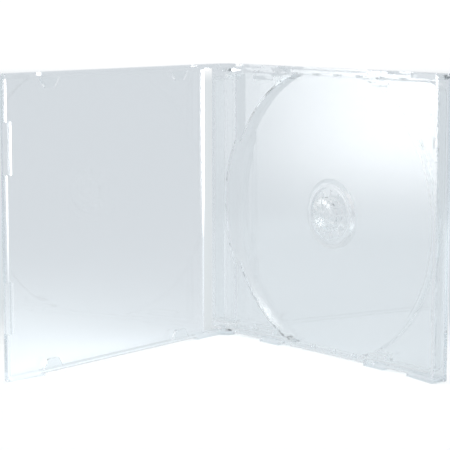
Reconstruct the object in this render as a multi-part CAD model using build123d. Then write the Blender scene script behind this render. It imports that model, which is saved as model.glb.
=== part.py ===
from build123d import *
import os

# Clear disc jewel case, standing on its long edges and open like a book.
# Each piece is drawn in the closed, lying case: X runs from the hinge spine to the opening
# edge, Y runs along the spine and Z runs from the outside of the back to the outside of the front.

# Closed case
case_length = 142.0
case_width = 125.0
case_thickness = 10.0
plate_thickness = 1.2
side_wall_thickness = 1.2
side_wall_inset = 1.1
closing_gap = 0.15
corner_radius = 1.0

# Hinge
pivot_from_spine = 6.8
pivot_height = 5.0
pin_radius = 1.5
pin_clearance = 0.08
pin_overhang = 0.3
ear_radius = 4.6
ear_thickness = 1.8
ear_gap = 0.2
ear_root_length = 8.0
open_angle = 79.0

# Back cover
spine_height = 7.7
spine_thickness = 1.4
back_wall_height = 4.9
bracket_thickness = 1.3
bracket_length = 13.0
bracket_rounding = 4.0
notch_beyond_ear = 0.6
flush_corner_length = 18.0
pad_length = 12.0
pad_centres = (37.0, 104.5)
rib_thickness = 1.0
rib_height = 3.2
rib_pitch = 13.0
rib_count = 8
clip_length = 5.0
clip_height = 1.4
clip_reach = 0.5
clip_level = 3.0
clip_from_well = 4.5
clip_clearance = 0.2

# Front cover
lid_edge_from_spine = 18.8
bead_length = 1.6
bead_depth = 2.0
tab_centres = (37.0, 117.5)
tab_root_length = 11.0
tab_tip_length = 6.0
tab_reach = 4.0
tab_thickness = 1.0
tab_level = 6.4
tab_rounding = 1.2
window_length = 21.4
window_from_end = 19.4
stop_rib_thickness = 1.0
stop_rib_from_edge = 2.6

# Disc tray
tray_side_clearance = 0.2
tray_end_clearance = 0.3
card_space = 0.3
tray_thickness = 1.1
deck_height = 6.0
strip_height = 8.8
strip_gap = 0.6
deck_beyond_well = 2.5
well_floor_radius = 62.0
well_taper = 0.8
deck_rounding = 5.0
hinge_notch_length = 11.5
hinge_notch_depth = 2.3
hinge_notch_rounding = 2.0
tab_notch_length = 13.0
tab_notch_depth = 2.8
tab_notch_centres = (34.0, 105.5)
bump_length = 5.0
bump_radius = 0.6
bump_from_edge = 1.4
bump_offset = 35.0
gate_mark_radius = 0.5
gate_mark_depth = 0.3
gate_mark_from_edge = 3.6
gate_mark_offset = 46.1

# Hub that grips the disc's centre hole
disc_hole_radius = 7.5
hub_height = 7.9
hub_opening_radius = 1.4
hub_crown_radius = 4.8
hub_dish = 0.7
tooth_count = 12
tooth_thickness = 0.9
tooth_bead = 0.35
tooth_bead_height = 6.3
slot_width = 0.8
slot_end_radius = 10.4
seat_inner_radius = 11.6
seat_top_radius = 13.4
seat_outer_radius = 15.2
seat_rise = 1.0

# Levels and lines that the sizes above give
mid_width = case_width / 2
mid_plane = Plane(origin=(0, mid_width, 0), z_dir=(0, 1, 0))
front_inside = case_thickness - plate_thickness
lid_rim = back_wall_height + closing_gap
lip_rim = spine_height + closing_gap
wall_inside = side_wall_inset + side_wall_thickness
bracket_outside = ear_thickness + ear_gap
bracket_inside = bracket_outside + bracket_thickness
ear_notch_length = pivot_from_spine + ear_radius + notch_beyond_ear
flush_corner_start = case_length - flush_corner_length
far_spine_inside = case_length - spine_thickness
tray_left = spine_thickness + tray_end_clearance
tray_right = far_spine_inside - tray_end_clearance
tray_edge = bracket_inside + tray_side_clearance
tray_underside = plate_thickness + card_space
well_floor = tray_underside + tray_thickness
strip_right = lid_edge_from_spine - strip_gap
well_rim_radius = well_floor_radius + well_taper
well_centre = tray_right - well_rim_radius - deck_beyond_well
well_half_chord = max(well_rim_radius**2 - (mid_width - tray_edge) ** 2, 0) ** 0.5
clip_centres = (
    well_centre - well_half_chord - clip_from_well,
    well_centre + well_half_chord + clip_from_well,
)


def slab(x_range, y_range, z_range):
    """A block between two limits along each axis."""
    (x0, x1), (y0, y1), (z0, z1) = x_range, y_range, z_range
    return Pos(x0, y0, z0) * Box(x1 - x0, y1 - y0, z1 - z0, align=(Align.MIN, Align.MIN, Align.MIN))


def across(profile, start, end):
    """A profile drawn in length and thickness, run along the spine from start to end."""
    return extrude(Plane.XZ.offset(-start) * profile, amount=start - end)


def outline(*points):
    """A flat face with straight edges through the points."""
    return make_face(Polyline(*points, close=True))


def both_edges(shape):
    """The shape at one long edge, with its mirror image at the other."""
    return shape + mirror(shape, about=mid_plane)


def rounded_plate(x_range, z_range):
    """A full-width cover plate with small rounded corners."""
    (x0, x1), (z0, z1) = x_range, z_range
    face = Pos((x0 + x1) / 2, mid_width) * RectangleRounded(x1 - x0, case_width, corner_radius)
    return Pos(0, 0, z0) * extrude(face, amount=z1 - z0)


def back_side_wall():
    """One long edge of the back: inset wall, full-width corner rising to the spine, pads and ribs."""
    wall = across(
        outline(
            (ear_notch_length, 0),
            (case_length, 0),
            (case_length, spine_height),
            (far_spine_inside, spine_height),
            (flush_corner_start, back_wall_height),
            (ear_notch_length, back_wall_height),
        ),
        side_wall_inset,
        wall_inside,
    )
    flush_corner = across(
        outline(
            (flush_corner_start, 0),
            (case_length - corner_radius, 0),
            (case_length - corner_radius, spine_height),
            (far_spine_inside, spine_height),
            (flush_corner_start, back_wall_height),
        ),
        0,
        side_wall_inset,
    )
    wall += flush_corner
    for centre in pad_centres:
        limits = (centre - pad_length / 2, centre + pad_length / 2)
        wall += slab(limits, (0, side_wall_inset), (0, back_wall_height))
    for index in range(rib_count):
        centre = ear_notch_length + (index + 1) * rib_pitch
        limits = (centre - rib_thickness / 2, centre + rib_thickness / 2)
        wall += slab(limits, (wall_inside, bracket_inside), (0, rib_height))
    return wall


def hinge_bracket():
    """The bored wall beside the spine that carries one hinge pin."""
    profile = fillet(
        outline(
            (0, 0), (bracket_length, 0), (bracket_length, spine_height), (0, spine_height)
        ).vertices().sort_by(Axis.X)[-2:].sort_by(Axis.Y)[-1],
        bracket_rounding,
    )
    bore = Pos(pivot_from_spine, pivot_height) * Circle(pin_radius + pin_clearance)
    return across(profile - bore, bracket_outside, bracket_inside)


def clip_pockets():
    """The pockets through one side wall that the tray's clip nubs snap into."""
    half = clip_length / 2 + clip_clearance
    levels = (clip_level - clip_clearance, clip_level + clip_height + clip_clearance)
    return [
        slab((centre - half, centre + half), (side_wall_inset, bracket_inside), levels)
        for centre in clip_centres
    ]


def back_cover():
    """Back plate with both spines, side walls and hinge brackets, moulded as one."""
    body = rounded_plate((0, case_length), (0, plate_thickness))
    body -= both_edges(slab((0, ear_notch_length), (0, bracket_outside), (0, plate_thickness)))
    far_spine = slab(
        (far_spine_inside, case_length),
        (corner_radius, case_width - corner_radius),
        (0, spine_height),
    )
    hinge_spine = slab(
        (0, spine_thickness), (bracket_outside, case_width - bracket_outside), (0, spine_height)
    )
    side = back_side_wall() + hinge_bracket() - clip_pockets()
    return body + far_spine + hinge_spine + both_edges(side)


def ear_and_pin():
    """One hinge ear, rounded about the pivot, with its inward pin."""
    arm = outline(
        (pivot_from_spine, lid_rim),
        (pivot_from_spine, pivot_height + ear_radius),
        (lid_edge_from_spine, case_thickness),
        (lid_edge_from_spine + ear_root_length, case_thickness),
        (lid_edge_from_spine + ear_root_length, lid_rim),
    )
    pivot = Pos(pivot_from_spine, pivot_height)
    ear = across(arm + pivot * Circle(ear_radius), 0, ear_thickness)
    return ear + across(pivot * Circle(pin_radius), ear_thickness, bracket_inside + pin_overhang)


def booklet_tab(centre):
    """One tapered tab on the side wall that holds the booklet against the front."""
    face = outline(
        (centre - tab_root_length / 2, wall_inside),
        (centre + tab_root_length / 2, wall_inside),
        (centre + tab_tip_length / 2, wall_inside + tab_reach),
        (centre - tab_tip_length / 2, wall_inside + tab_reach),
    )
    face = fillet(face.vertices().sort_by(Axis.Y)[-2:], tab_rounding)
    return Pos(0, 0, tab_level) * extrude(face, amount=tab_thickness)


def front_side_wall():
    """One long edge of the front: inset wall, full-width corner, hinge ear and booklet tabs."""
    wall = across(
        outline(
            (lid_edge_from_spine, front_inside),
            (lid_edge_from_spine, lid_rim),
            (flush_corner_start, lid_rim),
            (far_spine_inside, lip_rim),
            (case_length, lip_rim),
            (case_length, front_inside),
        ),
        side_wall_inset,
        wall_inside,
    )
    wall += across(
        outline(
            (flush_corner_start, front_inside),
            (flush_corner_start, lid_rim),
            (far_spine_inside, lip_rim),
            (case_length - corner_radius, lip_rim),
            (case_length - corner_radius, front_inside),
        ),
        0,
        side_wall_inset,
    )
    for centre in tab_centres:
        wall += booklet_tab(centre)
    return wall + ear_and_pin()


def front_cover():
    """Front plate with its side walls, lip, booklet tabs, hinge ears and pins, moulded as one."""
    body = rounded_plate((lid_edge_from_spine, case_length), (front_inside, case_thickness))
    body += slab(
        (lid_edge_from_spine, lid_edge_from_spine + bead_length),
        (corner_radius, case_width - corner_radius),
        (case_thickness - bead_depth, front_inside),
    )
    body += slab(
        (case_length - side_wall_thickness, case_length),
        (corner_radius, case_width - corner_radius),
        (lip_rim, front_inside),
    )
    window = (window_from_end, window_from_end + window_length)
    body -= both_edges(
        slab((case_length - side_wall_thickness, case_length), window, (lip_rim, front_inside))
    )
    stop_end = case_length - stop_rib_from_edge
    body += both_edges(
        slab((stop_end - stop_rib_thickness, stop_end), window, (lip_rim, front_inside))
    )
    return body + both_edges(front_side_wall())


def well_solid(rim_radius, floor_radius, floor, top):
    """The tapered round space of the disc well, from its floor up past the deck."""
    reach = (rim_radius - floor_radius) * (top - floor) / (deck_height - well_floor)
    upright = (Align.CENTER, Align.CENTER, Align.MIN)
    cone = Cone(floor_radius, floor_radius + reach, top - floor, align=upright)
    return Pos(well_centre, mid_width, floor) * cone


def tray_blank():
    """The closed form of the tray: deck and raised strip, notched at the hinge and rounded beyond."""
    deck = slab(
        (tray_left, tray_right), (tray_edge, case_width - tray_edge), (tray_underside, deck_height)
    )
    deck = fillet(deck.edges().filter_by(Axis.Z).group_by(Axis.X)[-1], deck_rounding)
    strip = slab(
        (tray_left, strip_right), (tray_edge, case_width - tray_edge), (tray_underside, strip_height)
    )
    notch = slab(
        (tray_left, hinge_notch_length), (tray_edge, tray_edge + hinge_notch_depth), (0, case_thickness)
    )
    inner_corner = notch.edges().filter_by(Axis.Z).group_by(Axis.X)[-1].sort_by(Axis.Y)[-1]
    notch = fillet(inner_corner, hinge_notch_rounding)
    return deck + strip - both_edges(notch)


def edge_slots(skin, base):
    """Slots just inside the long edges that free the strips beside the clips, grown by a skin."""
    reach = tab_notch_length / 2 + skin
    sides = (tray_edge + tray_thickness - skin, tray_edge + tab_notch_depth + skin)
    return [
        both_edges(slab((centre - reach, centre + reach), sides, (base, deck_height)))
        for centre in tab_notch_centres
    ]


def tray_pocket():
    """The hollow underside of the deck and strip, one wall inside the outline."""
    inner = (tray_edge + tray_thickness, case_width - tray_edge - tray_thickness)
    deck = slab(
        (tray_left + tray_thickness, tray_right - tray_thickness),
        inner,
        (tray_underside, deck_height - tray_thickness),
    )
    deck = fillet(deck.edges().filter_by(Axis.Z).group_by(Axis.X)[-1], deck_rounding - tray_thickness)
    strip = slab(
        (tray_left + tray_thickness, strip_right - tray_thickness),
        inner,
        (tray_underside, strip_height - tray_thickness),
    )
    notch = slab(
        (tray_left, hinge_notch_length + tray_thickness),
        (tray_edge, tray_edge + hinge_notch_depth + tray_thickness),
        (0, case_thickness),
    )
    well_outside = well_solid(
        well_rim_radius + tray_thickness,
        well_floor_radius + tray_thickness,
        tray_underside,
        case_thickness,
    )
    return deck + strip - both_edges(notch) - well_outside - edge_slots(tray_thickness, tray_underside)


def hub():
    """Ring seat and sprung teeth that rise through the disc's centre hole."""
    tooth_outside = disc_hole_radius - tooth_bead
    profile = make_face(
        Polyline(
            (hub_opening_radius, hub_height - hub_dish),
            (hub_crown_radius, hub_height),
            (disc_hole_radius - tooth_thickness, hub_height - tooth_bead),
            (tooth_outside, tooth_bead_height + tooth_thickness),
            (disc_hole_radius + tooth_bead, tooth_bead_height),
            (tooth_outside, tooth_bead_height - tooth_thickness),
            (tooth_outside, well_floor + tooth_bead),
            (tooth_outside + tooth_bead, well_floor),
            (seat_inner_radius, well_floor),
            (seat_inner_radius, well_floor + seat_rise),
            (seat_top_radius, well_floor + seat_rise),
            (seat_outer_radius, well_floor),
            (seat_outer_radius, tray_underside),
            (tooth_outside - tooth_thickness, tray_underside),
            (tooth_outside - tooth_thickness, hub_height - tooth_bead - 2 * tooth_thickness),
            (hub_crown_radius, hub_height - tooth_thickness),
            (hub_opening_radius, hub_height - hub_dish - tooth_thickness),
            close=True,
        )
    )
    body = revolve(Plane.XZ * profile, Axis.Z)
    slot_length = slot_end_radius - hub_opening_radius + tooth_thickness
    slot = Pos(slot_end_radius - slot_length / 2, 0, 0) * Box(
        slot_length, slot_width, case_thickness, align=(Align.CENTER, Align.CENTER, Align.MIN)
    )
    body -= [turned * slot for turned in PolarLocations(0, tooth_count)]
    return Pos(well_centre, mid_width, 0) * body


def disc_tray():
    """Tray with disc well, hub, clip nubs and raised hinge strip, moulded as one."""
    body = tray_blank() - well_solid(well_rim_radius, well_floor_radius, well_floor, case_thickness)
    body -= tray_pocket()
    body -= edge_slots(0, well_floor)
    for centre in clip_centres:
        limits = (centre - clip_length / 2, centre + clip_length / 2)
        nub = slab(limits, (tray_edge - clip_reach, tray_edge), (clip_level, clip_level + clip_height))
        body += both_edges(nub)
    bump = Rot(90, 0, 0) * Cylinder(bump_radius, bump_length)
    body += both_edges(Pos(tray_right - bump_from_edge, mid_width - bump_offset, deck_height) * bump)
    gate_mark = Cylinder(gate_mark_radius, gate_mark_depth, align=(Align.CENTER, Align.CENTER, Align.MAX))
    body -= Pos(tray_right - gate_mark_from_edge, mid_width + gate_mark_offset, deck_height) * gate_mark
    opening = Pos(well_centre, mid_width, 0) * Cylinder(
        seat_outer_radius, deck_height, align=(Align.CENTER, Align.CENTER, Align.MIN)
    )
    return body - opening + hub()


def opened(shape):
    """Swing a closed front cover about the hinge pins to its open position."""
    hinge = Axis((pivot_from_spine, 0, pivot_height), (0, 1, 0))
    return shape.rotate(hinge, -open_angle)


pieces = {
    "back_cover": back_cover(),
    "disc_tray": disc_tray(),
    "front_cover": opened(front_cover()),
}

# Stand the case on its long edges, back plate upright and facing away, and centre its foot
standing = {node: Rot(90, 0, 0) * shape for node, shape in pieces.items()}
extent = Compound(list(standing.values())).bounding_box()
foot = Pos(-extent.center().X, -extent.center().Y, -extent.min.Z)

os.makedirs("parts", exist_ok=True)
for node, shape in standing.items():
    export_step(foot * shape, f"parts/{node}.step")
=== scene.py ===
import math

import bpy
import numpy as np
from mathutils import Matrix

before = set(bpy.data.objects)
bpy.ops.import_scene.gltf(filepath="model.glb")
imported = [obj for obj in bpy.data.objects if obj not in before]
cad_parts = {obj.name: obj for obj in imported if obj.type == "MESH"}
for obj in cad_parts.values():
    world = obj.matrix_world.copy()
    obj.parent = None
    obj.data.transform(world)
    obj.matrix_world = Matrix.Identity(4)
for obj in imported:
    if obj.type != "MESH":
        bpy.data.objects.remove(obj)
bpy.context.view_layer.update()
scene = bpy.context.scene
mm = 0.001
print("frame loaded:", ", ".join(sorted(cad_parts)))


def toLinear(hexColour):
    # sRGB to linear: c / 12.92 up to 0.04045, else ((c + 0.055) / 1.055) to the power 2.4
    parts = np.array([int(hexColour[i:i + 2], 16) for i in (1, 3, 5)]) / 255
    return (*np.where(parts <= 0.04045, parts / 12.92, ((parts + 0.055) / 1.055) ** 2.4), 1.0)


def addNode(tree, kind, settings=None, links=None):
    # settings are node properties or input values; links give an input, by name or number, its source;
    # a Mix node of two colours has its share at input 0, the colours at 6 and 7, and its result at output 2
    node = tree.nodes.new(kind)
    for name, value in (settings or {}).items():
        if isinstance(name, int) or name in node.inputs:
            node.inputs[name].default_value = value
        else:
            setattr(node, name, value)
    for name, source in (links or {}).items():
        tree.links.new(source, node.inputs[name])
    return node


def newMaterial(name):
    look = bpy.data.materials.new(name)
    look.use_nodes = True
    look.node_tree.nodes.clear()
    return look, look.node_tree


# camera: three quarters from the front right, a little above the case

camera = {
    "place": (538.49, -431.73, 155.12),  # mm
    "turn": 50.57,  # degrees to the left of straight ahead
    "down": 7.61,  # degrees below level
    "lens": 136.47,  # mm
    "sensor": 36,  # mm wide
}
eye = bpy.data.objects.new("eye", bpy.data.cameras.new("eye"))
scene.collection.objects.link(eye)
eye.data.sensor_width = camera["sensor"]
eye.data.lens = camera["lens"]
eye.location = [v * mm for v in camera["place"]]
eye.rotation_euler = (math.radians(90 - camera["down"]), 0, math.radians(camera["turn"]))
scene.camera = eye
print("camera placed")


# clear general-purpose polystyrene, injection moulded in polished steel: glassy, with a high index, so
# its edges flash white and dark, with slow swells from the melt's flow and fine level scuffs from use

polystyrene = {
    "tint": "#FCFDFD",
    "depthTint": "#B4CFDC",  # about what is left of white light after one metre over the density
    "density": 1.2,  # per metre
    "ior": 1.59,
    "rough": 0.0,  # between the scuffs
    "swellDetail": 1.5,  # octaves of the swells' noise
    "swellGrain": 0.4,  # how much of each finer octave shows
    "swellBend": 0.6,  # how far the noise bends its own swells, as a flow does
    "scuffDetail": 2.0,  # octaves and grain of the scuffs' noise
    "scuffGrain": 0.6,
    "scuffEdge": (0.66, 0.8),  # height of the noise where a scuff starts and where it is full
    "scuffAlongY": 30.0,  # waves per metre along y, few enough that both faces of a plate share a scuff
}
backCover = {
    "slot": "back_cover",
    "centre": (71.0, 69.0, 62.5),  # mm, the gate at the opening edge that the melt came from
    "swell": 24.0,  # mm from swell to swell
    "swellDepth": 0.012,  # mm
    "scuffLong": 26.0,  # mm along x
    "scuffWide": 0.5,  # mm, drawn ten times as wide as a real one so that it shows
    "scuffPlace": 14.0,  # degrees that the noise is turned by, which moves its scuffs about the piece
    "scuffShare": 0.035,  # roughness that a full scuff adds
}
discTray = {
    "slot": "disc_tray",
    "centre": (4.0, 66.0, 62.5),  # mm, the middle of the hub
    "swell": 17.0,
    "swellDepth": 0.010,
    "scuffLong": 12.0,
    "scuffWide": 0.45,
    "scuffPlace": -38.0,
    "scuffShare": 0.03,
}
frontCover = {
    "slot": "front_cover",
    "centre": (-66.0, -66.0, 62.5),  # mm, a gate near the opening edge
    "swell": 30.0,
    "swellDepth": 0.014,
    "scuffLong": 30.0,
    "scuffWide": 0.5,
    "scuffPlace": 62.0,
    "scuffShare": 0.045,
}


def clearPolystyrene(piece):
    look, tree = newMaterial("injection_moulded_clear_polystyrene_" + piece["slot"])
    where = addNode(tree, "ShaderNodeTexCoord")
    fromGate = addNode(tree, "ShaderNodeMapping", {"Location": [-v * mm for v in piece["centre"]]},
                       {"Vector": where.outputs["Object"]})
    flow = addNode(tree, "ShaderNodeTexNoise",
                   {"Scale": 1000 / piece["swell"], "Detail": polystyrene["swellDetail"],
                    "Roughness": polystyrene["swellGrain"], "Distortion": polystyrene["swellBend"]},
                   {"Vector": fromGate.outputs[0]})
    swell = addNode(tree, "ShaderNodeBump", {"Strength": 1.0, "Distance": piece["swellDepth"] * mm},
                    {"Height": flow.outputs["Fac"]})
    stretched = addNode(tree, "ShaderNodeMapping",
                        {"Rotation": (0, math.radians(piece["scuffPlace"]), 0),
                         "Scale": (1000 / piece["scuffLong"], polystyrene["scuffAlongY"],
                                   1000 / piece["scuffWide"])},
                        {"Vector": fromGate.outputs[0]})
    lines = addNode(tree, "ShaderNodeTexNoise",
                    {"Scale": 1.0, "Detail": polystyrene["scuffDetail"],
                     "Roughness": polystyrene["scuffGrain"]},
                    {"Vector": stretched.outputs[0]})
    scuffStart, scuffFull = polystyrene["scuffEdge"]
    scuffs = addNode(tree, "ShaderNodeMapRange",
                     {"From Min": scuffStart, "From Max": scuffFull, "To Min": polystyrene["rough"],
                      "To Max": polystyrene["rough"] + piece["scuffShare"]},
                     {"Value": lines.outputs["Fac"]})
    glassy = addNode(tree, "ShaderNodeBsdfPrincipled",
                     {"Base Color": toLinear(polystyrene["tint"]), "Transmission Weight": 1.0,
                      "IOR": polystyrene["ior"]},
                     {"Normal": swell.outputs[0], "Roughness": scuffs.outputs[0]})
    within = addNode(tree, "ShaderNodeVolumeAbsorption",
                     {"Color": toLinear(polystyrene["depthTint"]), "Density": polystyrene["density"]})
    addNode(tree, "ShaderNodeOutputMaterial", None,
            {"Surface": glassy.outputs[0], "Volume": within.outputs[0]})
    return look


for piece in (backCover, discTray, frontCover):
    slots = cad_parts[piece["slot"]].data.materials
    slots.clear()
    slots.append(clearPolystyrene(piece))
print("clear polystyrene on the two covers and the tray")


# floor of matt white paper: to the eye it is white, with painted shade, a soft pale grey fan painted behind
# the hinge as a shadow the case casts, that shows in the gap there, and what the plastic mirrors or lets
# through is the same paper, white in three lit patches and pale grey away from them

floorPaper = {
    "half": 3000.0,  # mm, half the floor's side
    "white": "#FAFBFC",
    # painted shade: the pale grey of a soft shadow, painted on the paper in a fan behind the hinge
    "paintedShade": "#D7DDE0",
    "paintedShadeStart": (-67.0, 64.0),  # mm, the foot of the hinge, where the fan spreads from
    "paintedShadeTurn": 140.5,  # degrees, straight away from the case's opening
    "paintedShadeEdge": (-0.6, 0.6),  # cosine of the angle from that line, where the fan starts and is full
    "paintedShadeReach": (2300.0, 3100.0),  # mm, where it starts to fade and where it has gone
    "lit": "#F3FAFF",  # the paper in the plastic, in a lit patch
    "unlit": "#D3D8DD",  # and away from them
    "patches": (  # mm: the middle of each lit patch, and how far from it the light has half gone
        ((-140.0, -180.0), 204.0),
        ((-270.0, -190.0), 90.0),
        ((5.0, -10.0), 72.0),
    ),
    "patchEdge": 4.5,  # how fast a patch fades past that distance
}
half = floorPaper["half"] * mm
floorMesh = bpy.data.meshes.new("floor")
floorMesh.from_pydata([(-half, -half, 0), (half, -half, 0), (half, half, 0), (-half, half, 0)],
                      [], [(0, 1, 2, 3)])
floor = bpy.data.objects.new("floor", floorMesh)
scene.collection.objects.link(floor)


def litPaper(tree, place):
    # the share of each patch's light that has gone is d / (1 + d), where d is the distance from its middle
    # over its reach, to the power of patchEdge; the shares are multiplied
    shares = []
    for middle, reach in floorPaper["patches"]:
        away = addNode(tree, "ShaderNodeVectorMath",
                       {"operation": "DISTANCE", 1: (middle[0] * mm, middle[1] * mm, 0)}, {0: place})
        ratio = addNode(tree, "ShaderNodeMath", {"operation": "DIVIDE", 1: reach * mm},
                        {0: away.outputs["Value"]})
        steep = addNode(tree, "ShaderNodeMath", {"operation": "POWER", 1: floorPaper["patchEdge"]},
                        {0: ratio.outputs[0]})
        whole = addNode(tree, "ShaderNodeMath", {"operation": "ADD", 1: 1.0}, {0: steep.outputs[0]})
        shares.append(addNode(tree, "ShaderNodeMath", {"operation": "DIVIDE"},
                              {0: steep.outputs[0], 1: whole.outputs[0]}))
    gone = shares[0]
    for share in shares[1:]:
        gone = addNode(tree, "ShaderNodeMath", {"operation": "MULTIPLY"},
                       {0: gone.outputs[0], 1: share.outputs[0]})
    return addNode(tree, "ShaderNodeMix",
                   {"data_type": "RGBA", 6: toLinear(floorPaper["lit"]), 7: toLinear(floorPaper["unlit"])},
                   {0: gone.outputs[0]})


def paintedShadePaper(tree, place):
    # painted shade: the grey is the fan's width, from the direction of a point as seen from
    # paintedShadeStart, times its reach, from the point's distance
    start = [v * mm for v in (*floorPaper["paintedShadeStart"], 0)]
    fromHinge = addNode(tree, "ShaderNodeMapping",
                        {"vector_type": "TEXTURE", "Location": start,
                         "Rotation": (0, 0, math.radians(floorPaper["paintedShadeTurn"]))}, {"Vector": place})
    heading = addNode(tree, "ShaderNodeVectorMath", {"operation": "NORMALIZE"}, {0: fromHinge.outputs[0]})
    cosine = addNode(tree, "ShaderNodeSeparateXYZ", None, {0: heading.outputs[0]})
    outside, inside = floorPaper["paintedShadeEdge"]
    width = addNode(tree, "ShaderNodeMapRange",
                    {"From Min": outside, "From Max": inside, "interpolation_type": "SMOOTHSTEP"},
                    {"Value": cosine.outputs["X"]})
    distance = addNode(tree, "ShaderNodeVectorMath", {"operation": "LENGTH"}, {0: fromHinge.outputs[0]})
    fadeStart, fadeEnd = floorPaper["paintedShadeReach"]
    reach = addNode(tree, "ShaderNodeMapRange",
                    {"From Min": fadeStart * mm, "From Max": fadeEnd * mm, "To Min": 1.0, "To Max": 0.0,
                     "interpolation_type": "SMOOTHSTEP"},
                    {"Value": distance.outputs["Value"]})
    grey = addNode(tree, "ShaderNodeMath", {"operation": "MULTIPLY"},
                   {0: width.outputs[0], 1: reach.outputs[0]})
    return addNode(tree, "ShaderNodeMix",
                   {"data_type": "RGBA", 6: toLinear(floorPaper["white"]), 7: toLinear(floorPaper["paintedShade"])},
                   {0: grey.outputs[0]})


paperLook, paperTree = newMaterial("matt_white_paper_with_painted_shade")
onFloor = addNode(paperTree, "ShaderNodeTexCoord").outputs["Object"]
byPlastic = litPaper(paperTree, onFloor)
byEyeWithPaintedShade = paintedShadePaper(paperTree, onFloor)
paperRays = addNode(paperTree, "ShaderNodeLightPath")
# the eye sees the paper with its painted shade, the plastic sees the paper with its lit patches
seen = addNode(paperTree, "ShaderNodeMix", {"data_type": "RGBA"},
               {0: paperRays.outputs["Is Camera Ray"], 6: byPlastic.outputs[2], 7: byEyeWithPaintedShade.outputs[2]})
matt = addNode(paperTree, "ShaderNodeBsdfDiffuse", None, {"Color": seen.outputs[2]})
addNode(paperTree, "ShaderNodeOutputMaterial", None, {"Surface": matt.outputs[0]})
floorMesh.materials.append(paperLook)
print("floor laid")


# soft light cards that only the plastic shows, and only in light that was mirrored or bent a given number
# of times, which keeps them out of the walls' inner sparkle: one to the left front, for the upper right
# of the open back, and one overhead, for the white band on the lower left of the well's wall

frontCard = {
    "middle": (-270.0, -185.0, 250.0),  # mm
    "aim": (0.0, 65.0, 250.0),
    "size": (800.0, 500.0),
    "glow": (-60.0, -140.0),  # mm along and up the card from its middle to its brightest place
    "glowReach": (155.0, 230.0),  # mm along the card and up it
    "glowFoot": (-8.0, 68.0),  # mm above the floor, where the glow starts and where it is full
    "strength": 7.5,
    "turns": 3,  # times that its light is bent or mirrored: once by the outer skin, twice in the lid
}
topCard = {
    "middle": (105.0, 275.0, 660.0),
    "aim": (-40.0, 65.0, 20.0),
    "size": (700.0, 600.0),
    "glow": (0.0, 0.0),
    "glowReach": (300.0, 300.0),
    "glowFoot": (0.0, 10.0),
    "strength": 8.0,
    "turns": 5,  # once by the skin of the well's wall, four times in the tray and back behind it
}


def softGlow(name, card, brightest):
    # the glow falls smoothly from the brightest place, where it has the card's strength, to an oval
    # glowReach away, and near the floor it falls to nothing over glowFoot
    look, tree = newMaterial("soft_" + name)
    where = addNode(tree, "ShaderNodeTexCoord")
    along, up = np.array(card["glowReach"]) * mm
    patch = addNode(tree, "ShaderNodeMapping",
                    {"vector_type": "TEXTURE", "Location": (brightest * mm).tolist(),
                     "Scale": (along, along, up)}, {"Vector": where.outputs["Object"]})
    away = addNode(tree, "ShaderNodeVectorMath", {"operation": "LENGTH"}, {0: patch.outputs[0]})
    glow = addNode(tree, "ShaderNodeMapRange",
                   {"From Min": 0.0, "From Max": 1.0, "To Min": card["strength"], "To Max": 0.0,
                    "interpolation_type": "SMOOTHSTEP"}, {"Value": away.outputs["Value"]})
    height = addNode(tree, "ShaderNodeSeparateXYZ", None, {0: where.outputs["Object"]})
    footStart, footFull = card["glowFoot"]
    foot = addNode(tree, "ShaderNodeMapRange",
                   {"From Min": footStart * mm, "From Max": footFull * mm,
                    "interpolation_type": "SMOOTHSTEP"}, {"Value": height.outputs["Z"]})
    level = addNode(tree, "ShaderNodeMath", {"operation": "MULTIPLY"},
                    {0: glow.outputs[0], 1: foot.outputs[0]})
    rays = addNode(tree, "ShaderNodeLightPath")
    # Ray Depth counts whole turns, so a margin of half a turn picks out one of them
    atTurn = addNode(tree, "ShaderNodeMath", {"operation": "COMPARE", 1: card["turns"], 2: 0.5},
                     {0: rays.outputs["Ray Depth"]})
    mirrored = addNode(tree, "ShaderNodeMath", {"operation": "MULTIPLY"},
                       {0: level.outputs[0], 1: atTurn.outputs[0]})
    light = addNode(tree, "ShaderNodeEmission", None, {"Strength": mirrored.outputs[0]})
    through = addNode(tree, "ShaderNodeBsdfTransparent")
    both = addNode(tree, "ShaderNodeAddShader", None, {0: light.outputs[0], 1: through.outputs[0]})
    addNode(tree, "ShaderNodeOutputMaterial", None, {"Surface": both.outputs[0]})
    return look


def softCard(name, card):
    # the corners are the middle plus or minus half the width along the card and half the height up it,
    # where along is level, and both are at right angles to the aim
    middle, aim = np.array(card["middle"]), np.array(card["aim"])
    facing = (aim - middle) / np.linalg.norm(aim - middle)
    along = np.array([-facing[1], facing[0], 0.0]) / np.hypot(facing[0], facing[1])
    up = np.cross(facing, along)
    sides = np.array([-0.5, 0.5, 0.5, -0.5]) * card["size"][0]
    tops = np.array([-0.5, -0.5, 0.5, 0.5]) * card["size"][1]
    corners = middle + sides[:, None] * along + tops[:, None] * up
    mesh = bpy.data.meshes.new(name)
    mesh.from_pydata((corners * mm).tolist(), [], [(0, 1, 2, 3)])
    mesh.materials.append(softGlow(name, card, middle + card["glow"][0] * along + card["glow"][1] * up))
    made = bpy.data.objects.new(name, mesh)
    scene.collection.objects.link(made)
    made.visible_camera = made.visible_diffuse = made.visible_shadow = False


softCard("front_card", frontCard)
softCard("top_card", topCard)
print("light cards hung")


# room: even white light on the floor and to the eye, and a pale grey room in the plastic

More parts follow.
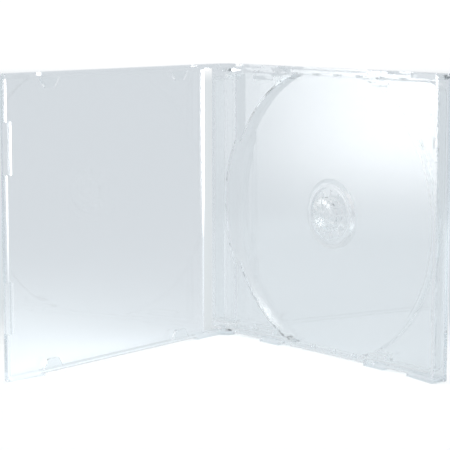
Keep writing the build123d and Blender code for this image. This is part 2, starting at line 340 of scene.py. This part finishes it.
room = {
    "white": 1.06,  # strength of the even white light
    "low": "#D3D8DD",  # what the plastic shows at the foot of the room
    "high": "#F4F6F8",  # and up in it
    "highFrom": 0.9,  # sine of the angle above level from which the room stays at its brightest
}
world = bpy.data.worlds.new("studio")
scene.world = world
world.use_nodes = True
roomTree = world.node_tree
roomTree.nodes.clear()
roomRays = addNode(roomTree, "ShaderNodeLightPath")
bent = addNode(roomTree, "ShaderNodeMath", {"operation": "MAXIMUM"},
               {0: roomRays.outputs["Is Glossy Ray"], 1: roomRays.outputs["Is Transmission Ray"]})
# a ray that has met the paper sees the white, also through the plastic, so that the floor is lit evenly
inPlastic = addNode(roomTree, "ShaderNodeMath", {"operation": "SUBTRACT", "use_clamp": True},
                    {0: bent.outputs[0], 1: roomRays.outputs["Diffuse Depth"]})
outward = addNode(roomTree, "ShaderNodeTexCoord")
upward = addNode(roomTree, "ShaderNodeSeparateXYZ", None, {0: outward.outputs["Generated"]})
rise = addNode(roomTree, "ShaderNodeMapRange", {"From Min": 0.0, "From Max": room["highFrom"]},
               {"Value": upward.outputs["Z"]})
hue = addNode(roomTree, "ShaderNodeMix",
              {"data_type": "RGBA", 6: toLinear(room["low"]), 7: toLinear(room["high"])},
              {0: rise.outputs[0]})
paleRoom = addNode(roomTree, "ShaderNodeBackground", {"Strength": 1.0}, {"Color": hue.outputs[2]})
white = addNode(roomTree, "ShaderNodeBackground", {"Color": (1, 1, 1, 1), "Strength": room["white"]})
mixed = addNode(roomTree, "ShaderNodeMixShader", None,
                {0: inPlastic.outputs[0], 1: white.outputs[0], 2: paleRoom.outputs[0]})
addNode(roomTree, "ShaderNodeOutputWorld", None, {"Surface": mixed.outputs[0]})
print("room lit")


# how the light is followed

tracing = {
    "bounces": 160,  # light runs a long way along a thin clear wall before it leaves
    "filterWidth": 2.0,  # pixels, as soft as the photograph
}
scene.view_settings.view_transform = "Standard"
scene.cycles.max_bounces = tracing["bounces"]
scene.cycles.transmission_bounces = tracing["bounces"]
scene.cycles.glossy_bounces = tracing["bounces"]
scene.cycles.blur_glossy = 0  # keeps the edges' fine glints crisp
scene.cycles.filter_width = tracing["filterWidth"]
print("light paths set")
